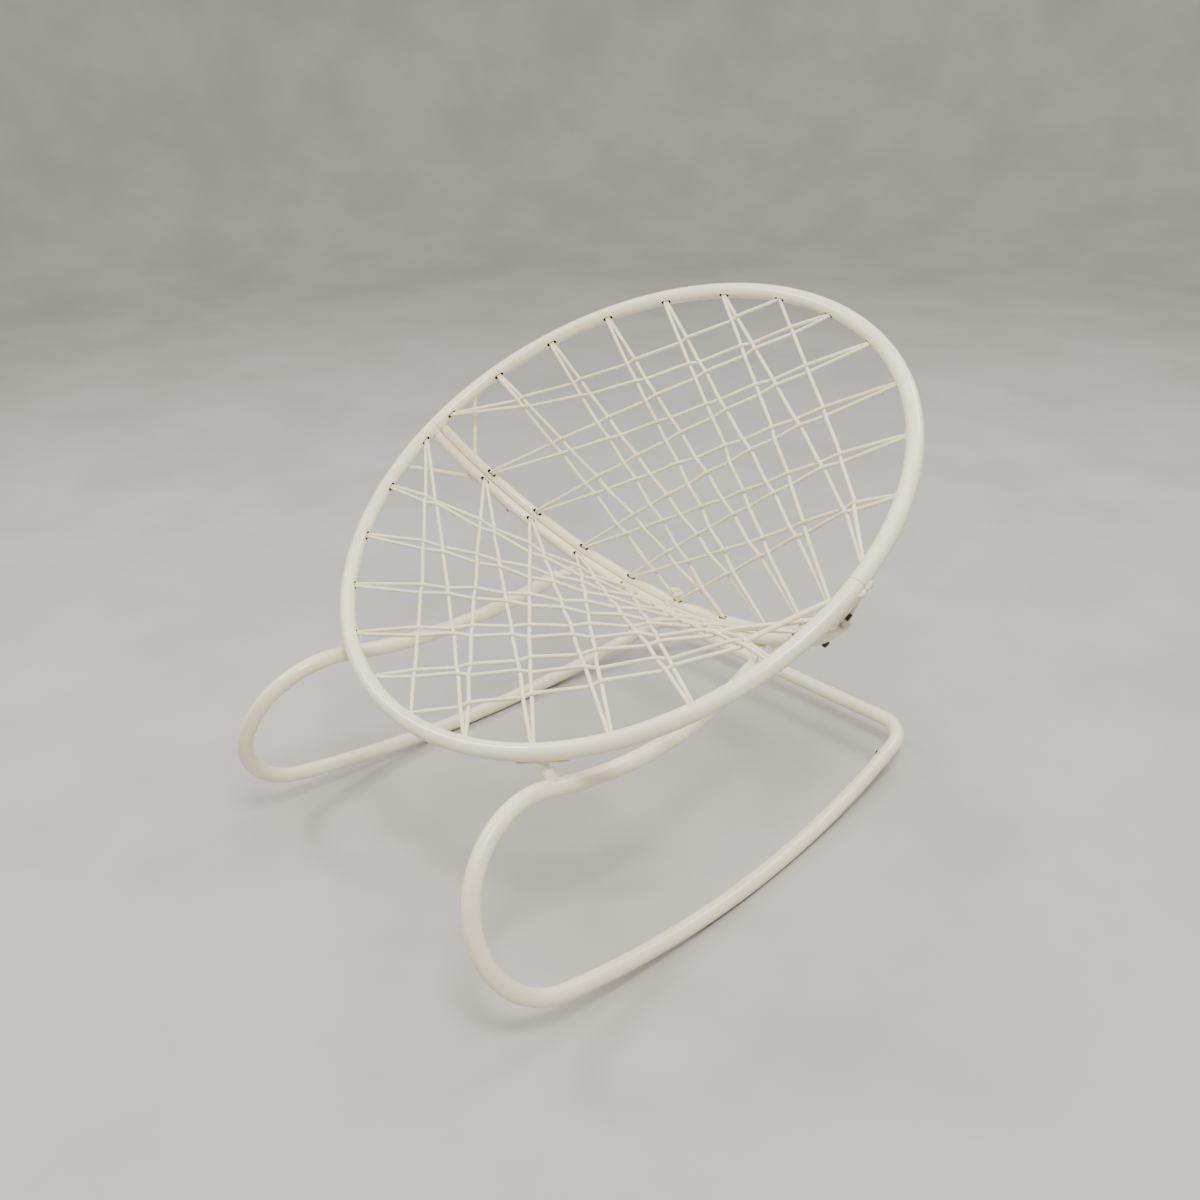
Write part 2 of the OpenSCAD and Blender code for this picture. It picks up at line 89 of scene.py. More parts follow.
class Socket:
    """A shader value that takes Python's arithmetic operators."""

    def __init__(self, shader: "Shader", link: bpy.types.NodeSocket) -> None:
        """Wraps an output socket of a shader's tree."""
        self.shader = shader
        self.link = link

    def _math(self, operation: str, first: object, second: object = None) -> "Socket":
        """Adds one Math node.

        Args:
            operation: The Math node's operation.
            first: Its first operand, a number or a Socket.
            second: Its second operand, where it has one.

        Returns:
            The node's result.
        """
        values = {0: first} if second is None else {0: first, 1: second}
        return self.shader.node("ShaderNodeMath", {"operation": operation}, values)

    def __add__(self, other: object) -> "Socket":
        """Sum."""
        return self._math("ADD", self, other)

    __radd__ = __add__

    def __sub__(self, other: object) -> "Socket":
        """Difference."""
        return self._math("SUBTRACT", self, other)

    def __rsub__(self, other: object) -> "Socket":
        """Reflected difference, so that 1 - mask works."""
        return self._math("SUBTRACT", other, self)

    def __mul__(self, other: object) -> "Socket":
        """Product."""
        return self._math("MULTIPLY", self, other)

    __rmul__ = __mul__

    def __gt__(self, other: object) -> "Socket":
        """1 where this value is the greater one."""
        return self._math("GREATER_THAN", self, other)

    def __lt__(self, other: object) -> "Socket":
        """1 where this value is the smaller one."""
        return self._math("LESS_THAN", self, other)

    def sine(self) -> "Socket":
        """Sine of the value in radians."""
        return self._math("SINE", self)

    def root(self) -> "Socket":
        """Square root."""
        return self._math("SQRT", self)

    def above(self, low: float, high: float) -> "Socket":
        """Smooth step.

        Args:
            low: Value that gives 0.
            high: Value that gives 1.

        Returns:
            The step, clamped between 0 and 1.
        """
        settings = {"interpolation_type": "SMOOTHSTEP", "clamp": True}
        values = {"Value": self, "From Min": low, "From Max": high, "To Min": 0.0, "To Max": 1.0}
        return self.shader.node("ShaderNodeMapRange", settings, values)


class Shader:
    """Builds one material's node tree around a Principled shader."""

    def __init__(self, name: str) -> None:
        """Starts an empty material of that name.

        Args:
            name: The material's name.
        """
        self.material = bpy.data.materials.new(name)
        self.material.use_nodes = True
        self.tree = self.material.node_tree
        self.tree.nodes.clear()
        self.principled = self.tree.nodes.new("ShaderNodeBsdfPrincipled")
        output = self.tree.nodes.new("ShaderNodeOutputMaterial")
        self.tree.links.new(self.principled.outputs["BSDF"], output.inputs["Surface"])

    def node(
        self, kind: str, settings: dict[str, object], values: dict[object, object], output: object = 0
    ) -> Socket:
        """Adds any node.

        Args:
            kind: The node's type.
            settings: Its properties, which are set first.
            values: Its sockets' values or links, by name or number.
            output: Name or number of the output that is returned.

        Returns:
            The chosen output.
        """
        added = self.tree.nodes.new(kind)
        for key, value in settings.items():
            setattr(added, key, value)
        for key, value in values.items():
            self.feed(added.inputs[key], value)
        return Socket(self, added.outputs[output])

    def feed(self, socket: bpy.types.NodeSocket, value: object) -> None:
        """Links or sets one input socket.

        Args:
            socket: The input socket.
            value: A Socket to link, or a plain value.
        """
        if isinstance(value, Socket):
            self.tree.links.new(value.link, socket)
        else:
            socket.default_value = value

    def position(self) -> Socket:
        """The point in the chair's own frame, in metres."""
        return self.node("ShaderNodeTexCoord", {}, {}, "Object")

    def part(self, vector: Socket, axis: str) -> Socket:
        """One component, X, Y or Z, of a vector."""
        return self.node("ShaderNodeSeparateXYZ", {}, {0: vector}, axis)

    def noise(self, scale: float, detail: float = 2.0, roughness: float = 0.5) -> Socket:
        """Noise over the surface.

        Args:
            scale: Its scale, in features per metre.
            detail: Its octaves.
            roughness: Its octaves' fall.

        Returns:
            A value between 0 and 1.
        """
        values = {"Vector": self.position(), "Scale": scale, "Detail": detail, "Roughness": roughness}
        return self.node("ShaderNodeTexNoise", {}, values, "Fac")

    def blend(self, factor: object, first: object, second: object) -> Socket:
        """Mixes two colours.

        Args:
            factor: Share of the second one.
            first: A colour or a Socket.
            second: A colour or a Socket.

        Returns:
            The mixed colour.
        """
        return self.node("ShaderNodeMix", {"data_type": "RGBA"}, {0: factor, 6: first, 7: second}, 2)

    def bump(
        self, height: Socket, distance: float, strength: float = 1.0, under: Socket | None = None
    ) -> Socket:
        """Adds a Bump node.

        Args:
            height: The height, 0 to 1.
            distance: The height of 1, in metres.
            strength: The node's strength.
            under: Another bump that this one lies on.

        Returns:
            The bumped normal.
        """
        values: dict[object, object] = {"Height": height, "Distance": distance, "Strength": strength}
        if under is not None:
            values["Normal"] = under
        return self.node("ShaderNodeBump", {}, values)

    def surface(self, **values: object) -> None:
        """Feeds the Principled shader, with _ for the spaces in its sockets' names."""
        for key, value in values.items():
            self.feed(self.principled.inputs[key.replace("_", " ")], value)


def colour(red: float, green: float, blue: float) -> tuple[float, float, float, float]:
    """A colour from display values of 0 to 255.

    Args:
        red: Red.
        green: Green.
        blue: Blue.

    Returns:
        The linear colour with alpha 1.
    """

    def linear(value: float) -> float:
        """One channel of the linear colour."""
        share = value / 255
        return share / 12.92 if share <= 0.04045 else ((share + 0.055) / 1.055) ** 2.4

    return linear(red), linear(green), linear(blue), 1.0


# ---- The hoop's geometry ----


@dataclass(frozen=True)
class Hoop:
    """The hoop's circle and the crossbars' bows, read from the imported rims.

    The hoop's own frame has its origin in the middle, +X to the sitter's left, +Y to the back
    in the hoop's plane, and +Z out of the bowl.
    """

    centre: Vector
    tilt: float
    radius: float
    bow_depth: float
    tube_r: float = 12.5 * MM
    bar_r: float = 9 * MM
    bar_gap: float = 0.6 * MM
    wall: float = 1.5 * MM

    @classmethod
    def from_frame(cls) -> "Hoop":
        """Works the hoop out from the boxes of its rims and crossbars.

        Returns:
            The hoop.
        """
        corners = [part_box(f"{half}_rim") for half in ("back", "seat")]
        low = Vector([min(c[0][i] for c in corners) for i in range(3)])
        high = Vector([max(c[1][i] for c in corners) for i in range(3)])
        centre, reach = (low + high) / 2, (high - low) / 2
        deep, tall = reach.y - cls.tube_r, reach.z - cls.tube_r
        tilt = math.atan2(tall, deep)
        # The crossbars' lowest point is where the bow's tube is lowest in the hoop's tilted frame.
        bars = [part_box(f"{half}_crossbar")[0].z for half in ("back", "seat")]
        bar_y = cls.bar_r + cls.bar_gap / 2
        depth = (centre.z - min(bars) - cls.bar_r - bar_y * math.sin(tilt)) / math.cos(tilt)
        return cls(Vector((0, centre.y, centre.z)), tilt, math.hypot(deep, tall), depth)

    @property
    def bow_r(self) -> float:
        """Radius of the crossbars' bow."""
        return (self.radius**2 + self.bow_depth**2) / (2 * self.bow_depth)

    @property
    def bow_z(self) -> float:
        """Height of the bow's centre over the hoop's plane."""
        return self.bow_r - self.bow_depth

    @property
    def bow_half_angle(self) -> float:
        """Angle of the bow from its lowest point to the rim."""
        return math.asin(self.radius / self.bow_r)

    def matrix(self) -> Matrix:
        """The transform from the hoop's frame to the chair's."""
        return Matrix.Translation(self.centre) @ Matrix.Rotation(self.tilt, 4, "X")

    def to_chair(self, points: np.ndarray) -> np.ndarray:
        """Moves points from the hoop's frame to the chair's."""
        turn = np.array(self.matrix())
        return points @ turn[:3, :3].T + turn[:3, 3]

    def bar_axis(self, angle: float, half: Half) -> np.ndarray:
        """Point of a crossbar's middle line at an angle from straight down."""
        offset = half.value * (self.bar_r + self.bar_gap / 2)
        return np.array([self.bow_r * math.sin(angle), offset, self.bow_z - self.bow_r * math.cos(angle)])


# ---- Finishes ----


@dataclass(frozen=True)
class Enamel:
    """Ivory enamel over steel tube: slightly yellowed, orange-peeled, with grimy streaks, painted shade on
    undersides, painted shade in the rims' and crossbars' bores, and a few chips.
    """

    name: str = "ivory_enamel"
    base: tuple[float, ...] = colour(247, 240, 210)
    yellowed: tuple[float, ...] = colour(236, 229, 192)
    # Colour of the grimy streaks and runner scuffs, and of the painted shade on undersides.
    grime_and_shade: tuple[float, ...] = colour(142, 132, 108)
    bare: tuple[float, ...] = colour(74, 56, 42)
    # Painted shade: near black for the tubes' bores seen through the slots.
    bore_shade: tuple[float, ...] = colour(22, 19, 16)
    peel: float = 0.05 * MM
    chip_share: float = 0.73
    # Strength of the grimy streaks and of the painted underside shade.
    grime_and_shade_share: float = 0.16

    def build(self, hoop: Hoop, bore: Half | None = None, in_rim: bool = True) -> bpy.types.Material:
        """Makes the material.

        Args:
            hoop: The hoop, for the tubes' hollows.
            bore: The half whose tube bore is painted near black as shade, seen through its slots, or None.
            in_rim: Whether that hollow is the rim's and not the crossbar's.

        Returns:
            The material.
        """
        place = "" if bore is None else f"_{bore.name.lower()}_{'rim' if in_rim else 'bar'}"
        shader = Shader(self.name + place)
        patch = shader.noise(5.0, 3.0)
        fine = shader.noise(95.0, 3.0, 0.6)
        paint = shader.blend(patch.above(0.38, 0.72) * 0.55, self.base, self.yellowed)
        # Faint grimy streaks everywhere, with painted shade darkening the undersides.
        up = shader.part(shader.node("ShaderNodeNewGeometry", {}, {}, "Normal"), "Z")
        below = (up * -1).above(0.1, 0.95)
        streaks = shader.noise(24.0, 4.0, 0.65).above(0.42, 0.7)
        grime_and_underside_shade = (below * 0.6 + 0.4) * streaks * self.grime_and_shade_share
        paint = shader.blend(grime_and_underside_shade, paint, self.grime_and_shade)
        # Chips are small and rare, in scattered groups.
        chips = (shader.noise(210.0, 2.0) > self.chip_share) * (shader.noise(9.0, 1.0) > 0.6)
        paint = shader.blend(chips * 0.85, paint, self.bare)
        roughness = fine * 0.16 + 0.24 + grime_and_underside_shade * 0.9 + chips * 0.3
        # The runners are scuffed where they meet the floor.
        height = shader.part(shader.position(), "Z")
        scuff = (1 - height.above(0.4 * MM, 2.2 * MM)) * shader.noise(60.0, 4.0).above(0.35, 0.6)
        paint = shader.blend(scuff * 0.7, paint, self.grime_and_shade)
        # Painted shade: the bore's inner wall is painted near black.
        if bore is not None:
            inside = self._inside(shader, hoop, bore, in_rim)
            paint = shader.blend(inside, paint, self.bore_shade)
            roughness = roughness + inside * 0.5
        peel = shader.bump(shader.noise(420.0, 1.0), self.peel)
        runs = shader.bump(shader.noise(38.0, 2.0), 0.12 * MM, 0.6, under=peel)
        chipped = shader.bump(1 - chips, 0.12 * MM, 0.8, under=runs)
        shader.surface(Base_Color=paint, Roughness=roughness, Normal=chipped)
        shader.surface(Coat_Weight=0.25, Coat_Roughness=0.12, IOR=1.5)
        return shader.material

    @staticmethod
    def _inside(shader: Shader, hoop: Hoop, half: Half, in_rim: bool) -> Socket:
        """1 inside a tube's bore, where it is painted as shade, from the distance to the tube's middle line.

        Args:
            shader: The shader that it is added to.
            hoop: The hoop.
            half: The half that the crossbar belongs to.
            in_rim: Whether the tube is the rim or the crossbar.

        Returns:
            The mask.
        """
        local = shader.node(
            "ShaderNodeVectorRotate",
            {"rotation_type": "X_AXIS"},
            {"Vector": shader.position(), "Center": tuple(hoop.centre), "Angle": -hoop.tilt},
        )
        x = shader.part(local, "X")
        y = shader.part(local, "Y") - hoop.centre.y
        z = shader.part(local, "Z") - hoop.centre.z
        if in_rim:
            across = (x * x + y * y).root() - hoop.radius
            away = (across * across + z * z).root()
            return away < hoop.tube_r - 0.25 * hoop.wall
        rise = z - hoop.bow_z
        across = (x * x + rise * rise).root() - hoop.bow_r
        side = y - half.value * (hoop.bar_r + hoop.bar_gap / 2)
        away = (across * across + side * side).root()
        return away < hoop.bar_r - 0.25 * hoop.wall


@dataclass(frozen=True)
class WeldPaint:
    """The same enamel over rough weld metal, with brown showing through in the pits."""

    name: str = "painted_weld"
    base: tuple[float, ...] = colour(228, 222, 196)
    pitted: tuple[float, ...] = colour(150, 128, 92)

    def build(self) -> bpy.types.Material:
        """Makes the material.

        Returns:
            The material.
        """
        shader = Shader(self.name)
        pits = shader.noise(260.0, 4.0, 0.7)
        paint = shader.blend(pits.above(0.54, 0.72) * 0.6, self.base, self.pitted)
        shader.surface(Base_Color=paint, Roughness=pits * 0.25 + 0.35)
        shader.surface(Normal=shader.bump(pits, 0.5 * MM, 0.9), Coat_Weight=0.15)
        return shader.material


@dataclass(frozen=True)
class DarkSteel:
    """Blackened steel of the bolts, with brown rust and rubbed corners."""

    name: str = "dark_steel"
    black: tuple[float, ...] = colour(52, 47, 43)
    rust: tuple[float, ...] = colour(104, 70, 46)
    rubbed: tuple[float, ...] = colour(132, 128, 120)

    def build(self) -> bpy.types.Material:
        """Makes the material.

        Returns:
            The material.
        """
        shader = Shader(self.name)
        rust = shader.noise(180.0, 4.0, 0.65).above(0.48, 0.62)
        rub = shader.noise(420.0, 2.0).above(0.6, 0.7) * (1 - rust)
        metal = shader.blend(rust * 0.8, shader.blend(rub * 0.7, self.black, self.rubbed), self.rust)
        shader.surface(Base_Color=metal, Metallic=0.85 - rust * 0.7, Roughness=rust * 0.35 + 0.42)
        shader.surface(Normal=shader.bump(shader.noise(520.0, 3.0), 0.15 * MM, 0.7))
        return shader.material


@dataclass(frozen=True)
class BraidedCord:
    """Ivory braided cord: a fine diamond braid along its length, with painted shade in the braid's grooves, a
    little soiled by use.
    """

    name: str = "braided_cord"
    base: tuple[float, ...] = colour(243, 235, 204)
    # Painted shade colour for the braid's grooves.
    shade: tuple[float, ...] = colour(222, 211, 172)
    soiled: tuple[float, ...] = colour(208, 193, 152)
    plaits: int = 6
    pitch: float = 7 * MM
    relief: float = 0.14 * MM
    uv_name: str = "cord_uv"

    def build(self) -> bpy.types.Material:
        """Makes the material.

        Returns:
            The material.
        """
        shader = Shader(self.name)
        uv = shader.node("ShaderNodeUVMap", {"uv_map": self.uv_name}, {}, "UV")
        around = shader.part(uv, "X") * (2 * math.pi * self.plaits)
        along = shader.part(uv, "Y") * (2 * math.pi / self.pitch)
        braid = (around + along).sine() * (around - along).sine() * 0.5 + 0.5
        fibre = shader.noise(900.0, 2.0, 0.7)
        soil = shader.noise(7.0, 4.0, 0.6).above(0.45, 0.78)
        tint = shader.blend(soil * 0.5, self.base, self.soiled)
        # Painted shade darkens the braid's grooves.
        tint = shader.blend((1 - braid.above(0.05, 0.45)) * 0.75, tint, self.shade)
        shader.surface(Base_Color=tint, Roughness=fibre * 0.15 + 0.55)
        relief = shader.bump(braid, self.relief)
        shader.surface(Normal=shader.bump(fibre, 0.08 * MM, 0.8, under=relief))
        shader.surface(Sheen_Weight=0.15, Sheen_Roughness=0.5)
        return shader.material


@dataclass(frozen=True)
class PlainFloor:
    """Pale studio floor with a faint mottle."""

    name: str = "pale_floor"
    pale: tuple[float, ...] = colour(186, 184, 179)
    dark: tuple[float, ...] = colour(174, 172, 166)

    def build(self) -> bpy.types.Material:
        """Makes the material.

        Returns:
            The material.
        """
        shader = Shader(self.name)
        mottle = shader.noise(2.2, 5.0, 0.6)
        tone = shader.blend(mottle.above(0.3, 0.7), self.pale, self.dark)
        shader.surface(Base_Color=tone, Roughness=0.62)
        return shader.material


@dataclass
class Paints:
    """The chair's materials, each made once."""

    hoop: Hoop
    enamel: bpy.types.Material = field(init=False)
    weld: bpy.types.Material = field(init=False)
    steel: bpy.types.Material = field(init=False)
    cord: bpy.types.Material = field(init=False)

    def __post_init__(self) -> None:
        """Makes the shared materials."""
        self.enamel = Enamel().build(self.hoop)
        self.weld = WeldPaint().build()
        self.steel = DarkSteel().build()
        self.cord = BraidedCord().build()


# ---- Swept meshes ----


@dataclass(frozen=True)
class Sweep:
    """A round section swept along a path.

    Attributes:
        path: The path's points, in the chair's frame.
        radii: The section's radius at each point.
        closed: Whether the path runs back to its start.
        sides: Sides of the section.
    """

    path: np.ndarray
    radii: np.ndarray
    closed: bool = False
    sides: int = 12

    def frames(self) -> tuple[np.ndarray, np.ndarray]:
        """Two unit vectors across the path at each point, with no twist between neighbours.

        Returns:
            The first vectors and the second ones.
        """
        if self.closed:
            along = np.roll(self.path, -1, 0) - np.roll(self.path, 1, 0)
        else:
            along = np.gradient(self.path, axis=0)
        along /= np.linalg.norm(along, axis=1)[:, None]
        start = np.eye(3)[np.abs(along[0]).argmin()]
        first = np.zeros_like(along)
        for i, direction in enumerate(along):
            start = start - direction * (start @ direction)
            start = start / np.linalg.norm(start)
            first[i] = start
        return first, np.cross(along, first)

    def lengths(self) -> np.ndarray:
        """Length along the path at each point."""
        steps = np.linalg.norm(np.diff(self.path, axis=0), axis=1)
        return np.concatenate([[0.0], np.cumsum(steps)])

    def mesh(self) -> tuple[np.ndarray, np.ndarray, np.ndarray]:
        """Vertices, four-sided faces and each face corner's UV.

        Returns:
            The vertices, the faces and the UVs.
        """
        first, second = self.frames()
        turn = np.arange(self.sides) * 2 * math.pi / self.sides
        ring = np.cos(turn)[None, :, None] * first[:, None] + np.sin(turn)[None, :, None] * second[:, None]
        points = self.path[:, None] + ring * self.radii[:, None, None]
        count = len(self.path)
        rows = np.arange(count if self.closed else count - 1)[:, None]
        cols = np.arange(self.sides)[None, :]
        after, beside = (rows + 1) % count, (cols + 1) % self.sides
        corners = [(rows, cols), (rows, beside), (after, beside), (after, cols)]
        faces = np.stack([r * self.sides + c for r, c in corners], -1).reshape(-1, 4)
        along = self.lengths()
        ahead = along[after] if not self.closed else np.where(after == 0, along[-1], along[after])
        near = np.broadcast_to(along[rows], (len(rows), self.sides))
        far = np.broadcast_to(ahead, (len(rows), self.sides))
        left = np.broadcast_to(cols / self.sides, near.shape)
        right = left + 1 / self.sides
        uvs = np.stack([np.stack(p, -1) for p in ((left, near), (right, near), (right, far), (left, far))], 2)
        return points.reshape(-1, 3), faces, uvs.reshape(-1, 2)


def swept_piece(
    name: str, sweeps: Iterable[Sweep], material: bpy.types.Material
) -> bpy.types.Object:
    """Joins sweeps into one piece with closed ends.

    Args:
        name: The piece's name.
        sweeps: Its sweeps.
        material: Its material.

    Returns:
        The piece, which rides on the chair.
    """
    points: list[np.ndarray] = []
    faces: list[list[int]] = []
    uvs: list[np.ndarray] = []
    base = 0
    for sweep in sweeps:
        verts, quads, corner_uvs = sweep.mesh()
        points.append(verts)
        faces += (quads + base).tolist()
        uvs.append(corner_uvs)
        if not sweep.closed:
            last = base + len(verts) - sweep.sides
            faces.append([base + i for i in reversed(range(sweep.sides))])
            faces.append([last + i for i in range(sweep.sides)])
            uvs.append(np.zeros((2 * sweep.sides, 2)))
        base += len(verts)
    mesh = bpy.data.meshes.new(name)
    mesh.from_pydata(np.concatenate(points).tolist(), [], faces)
    corners = np.concatenate(uvs).astype(np.float32).ravel()
    mesh.uv_layers.new(name=BraidedCord.uv_name).data.foreach_set("uv", corners)
    mesh.polygons.foreach_set("use_smooth", [True] * len(mesh.polygons))
    mesh.materials.append(material)
    mesh.update()
    piece = bpy.data.objects.new(name, mesh)
    bpy.context.scene.collection.objects.link(piece)
    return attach(piece, BODY)


def rounded(points: np.ndarray, reach: float, step: float) -> np.ndarray:
    """A polyline with its corners rounded, as a cord bends where it passes another.

    Args:
        points: The polyline's corners.
        reach: How far from a corner its bend begins.
        step: Longest step along the straights.

    Returns:
        The rounded line's points.
    """
    line = [points[0]]
    for before, corner, after in zip(points[:-2], points[1:-1], points[2:]):
        back, ahead = before - corner, after - corner
        short = min(np.linalg.norm(back), np.linalg.norm(ahead))
        near = min(reach, 0.48 * short)
        start = corner + back / np.linalg.norm(back) * near
        end = corner + ahead / np.linalg.norm(ahead) * near
        for share in np.linspace(0, 1, 5):
            line.append((1 - share) ** 2 * start + 2 * share * (1 - share) * corner + share**2 * end)
    line.append(points[-1])
    out = [line[0]]
    for a, b in zip(line[:-1], line[1:]):
        length = np.linalg.norm(b - a)
        if length < 1e-5:
            continue
        for i in range(1, math.ceil(length / step) + 1):
            out.append(a + (b - a) * i / math.ceil(length / step))
    return np.array(out)


# ---- Lacing ----


@dataclass
class Lacing:
    """One half's cord, laced through the slots of its rim and crossbar.

    Rim slots are 1 to 13 and crossbar slots -1 to -9, counted from the sitter's right. Part A of
    the route runs from the crossbar's middle to the rim's middle, and part B runs back again.
    """

    hoop: Hoop
    half: Half
    material: bpy.types.Material
    cord_r: float = 3 * MM
    pinched_r: float = 2.2 * MM
    rim_pitch: float = math.radians(14.26)
    bar_pitch: float = math.radians(12.55)
    slot_share: float = 2.3 * MM
    clear_of_slot: float = 16 * MM
    bend_reach: float = 9 * MM
    slack: float = 1.2 * MM
    weave_lift: float = 2.7 * MM
    settle_steps: int = 60
    turn_depth: float = 7 * MM
    knot_scale: float = 2.35 * MM
    knot_tail: float = 13 * MM
    lip_r: float = 0.55 * MM
    lip_half_length: float = 9.4 * MM
    lip_half_width: float = 3.9 * MM
    route_a: tuple[int, ...] = (-5, 2, -6, 3, -7, 4, -8, 5, -9, 6, 13, 7)
    route_b: tuple[int, ...] = (7, 1, 8, -1, 9, -2, 10, -3, 11, -4, 12, -5)

    def slot_frame(self, slot: int) -> tuple[np.ndarray, np.ndarray, np.ndarray, float]:
        """Where a slot is, in the hoop's frame.

        Args:
            slot: The slot's number.

        Returns:
            The tube's middle there, the direction out of the slot, the direction along the tube
            and the tube's radius.
        """
        flip = np.array([1.0, self.half.value, 1.0])
        if slot > 0:
            angle = math.pi / 2 + (7 - slot) * self.rim_pitch
            outward = np.array([math.cos(angle), math.sin(angle), 0.0])
            along = np.array([math.sin(angle), -math.cos(angle), 0.0])
            return self.hoop.radius * outward * flip, -outward * flip, along * flip, self.hoop.tube_r
        angle = (-slot - 5) * self.bar_pitch
        middle = self.hoop.bar_axis(angle, Half.BACK)
        inward = np.array([-math.sin(angle), 0.0, math.cos(angle)])
        along = np.array([math.cos(angle), 0.0, math.sin(angle)])
        return middle * flip, inward * flip, along * flip, self.hoop.bar_r

    def mouth(self, slot: int) -> np.ndarray:
        """The middle of a slot, just outside the tube."""
        middle, out, _, radius = self.slot_frame(slot)
        return middle + out * (radius + 0.5 * self.cord_r)

    def side(self, route: Sequence[int], here: int, there: int) -> float:
        """Which side of its slot a stretch of cord lies on.

        Args:
            route: The route.
            here: Place in the route of the slot.
            there: Place in the route of the stretch's other end.

        Returns:
            1 or -1 along the tube.
        """
        along = self.slot_frame(route[here])[2]

        def lean(place: int) -> float:
            """How far a stretch to that place leans along the tube."""
            way = self.mouth(route[place]) - self.mouth(route[here])
            return float(along @ way / np.linalg.norm(way))

        other = here - 1 if there > here else here + 1
        rival = lean(other) if 0 <= other < len(route) else 0.0
        return 1.0 if lean(there) > rival else -1.0

    def stretch_ends(self, route: Sequence[int]) -> list[tuple[np.ndarray, np.ndarray]]:
        """Both ends of every stretch of a route, outside their slots.

        Args:
            route: The slots in the order that the cord visits them.

        Returns:
            A pair of ends for each stretch, in the hoop's frame.
        """
        ends = []
        for i in range(len(route) - 1):
            pair = []
            for here, there in ((i, i + 1), (i + 1, i)):
                along = self.slot_frame(route[here])[2]
                pair.append(self.mouth(route[here]) + self.side(route, here, there) * self.slot_share * along)
            ends.append((pair[0], pair[1]))
        return ends

    def crossings(
        self, first: list[tuple[np.ndarray, np.ndarray]], second: list[tuple[np.ndarray, np.ndarray]]
    ) -> dict[tuple[int, int], tuple[float, float]]:
        """Where the stretches of the two parts cross, seen square to the hoop.

        Args:
            first: Ends of part A's stretches.
            second: Ends of part B's stretches.

        Returns:
            For each pair that crosses, the share of each stretch at the crossing.
        """
        found = {}
        for i, (a, b) in enumerate(first):
            for j, (c, d) in enumerate(second):
                sides = np.array([(b - a)[:2], (c - d)[:2]]).T
                if abs(np.linalg.det(sides)) < 1e-9:
                    continue
                s, t = np.linalg.solve(sides, (c - a)[:2])
                room_a = self.clear_of_slot / np.linalg.norm(b - a)
                room_b = self.clear_of_slot / np.linalg.norm(d - c)
                if room_a < s < 1 - room_a and room_b < t < 1 - room_b:
                    found[i, j] = (float(s), float(t))
        return found

    def settle(self) -> tuple[list[np.ndarray], list[np.ndarray]]:
        """Finds the net at rest: equal pull along the cord, with the parts held together where they cross.

        Returns:
            Each part's stretches as corner points from slot to slot, in the hoop's frame.
        """
        first, second = self.stretch_ends(self.route_a), self.stretch_ends(self.route_b)
        cross = self.crossings(first, second)
        keys = sorted(cross)
        number = {key: n for n, key in enumerate(keys)}
        points = np.array([self._between(first[i], second[j], cross[i, j]) for i, j in keys])
        chains = [self._chain(ends, keys, number, cross, 0, n) for n, ends in enumerate(first)]
        chains += [self._chain(ends, keys, number, cross, 1, n) for n, ends in enumerate(second)]
        for _ in range(self.settle_steps):
            points = points + 0.5 * (self._balance(chains, points) - points)
        rng = np.random.default_rng(SEED + self.half.value)
        points = points + rng.normal(0, self.slack / 2, points.shape) * np.array([1, 1, 0.3])
        lifted = self._weave(chains, keys, points, len(first))
        return lifted[: len(first)], lifted[len(first) :]

    @staticmethod
    def _between(
        one: tuple[np.ndarray, np.ndarray], other: tuple[np.ndarray, np.ndarray], shares: tuple[float, float]
    ) -> np.ndarray:
        """Midway between two straight stretches at their crossing."""
        return (one[0] + (one[1] - one[0]) * shares[0] + other[0] + (other[1] - other[0]) * shares[1]) / 2

    @staticmethod
    def _chain(
        ends: tuple[np.ndarray, np.ndarray],
        keys: list[tuple[int, int]],
        number: dict[tuple[int, int], int],
        cross: dict[tuple[int, int], tuple[float, float]],
        part: int,
        stretch: int,
    ) -> tuple[np.ndarray, list[int], np.ndarray]:
        """One stretch as its first end, its crossings in order, and its last end."""
        on_it = sorted((k for k in keys if k[part] == stretch), key=lambda k: cross[k][part])
        return ends[0], [number[k] for k in on_it], ends[1]

    @staticmethod
    def _balance(chains: list[tuple[np.ndarray, list[int], np.ndarray]], points: np.ndarray) -> np.ndarray:
        """One step towards equal pull along every stretch.

        Args:
            chains: The stretches.
            points: The crossings' present places.

        Returns:
            The places at which the pulls balance, with each link's stiffness as it is now.
        """
        count = len(points)
        stiffness, load = np.zeros((count, count)), np.zeros((count, 3))
        for start, inner, end in chains:
            places = [start, *points[inner], end]
            for n, (a, b) in enumerate(zip(places[:-1], places[1:])):
                pull = 1 / max(np.linalg.norm(b - a), 4 * MM)
                left = inner[n - 1] if n > 0 else None
                right = inner[n] if n < len(inner) else None
                for here, there, fixed in ((left, right, b), (right, left, a)):
                    if here is None:
                        continue
                    stiffness[here, here] += pull
                    if there is None:
                        load[here] += pull * fixed
                    else:
                        stiffness[here, there] -= pull
        return np.linalg.solve(stiffness, load)

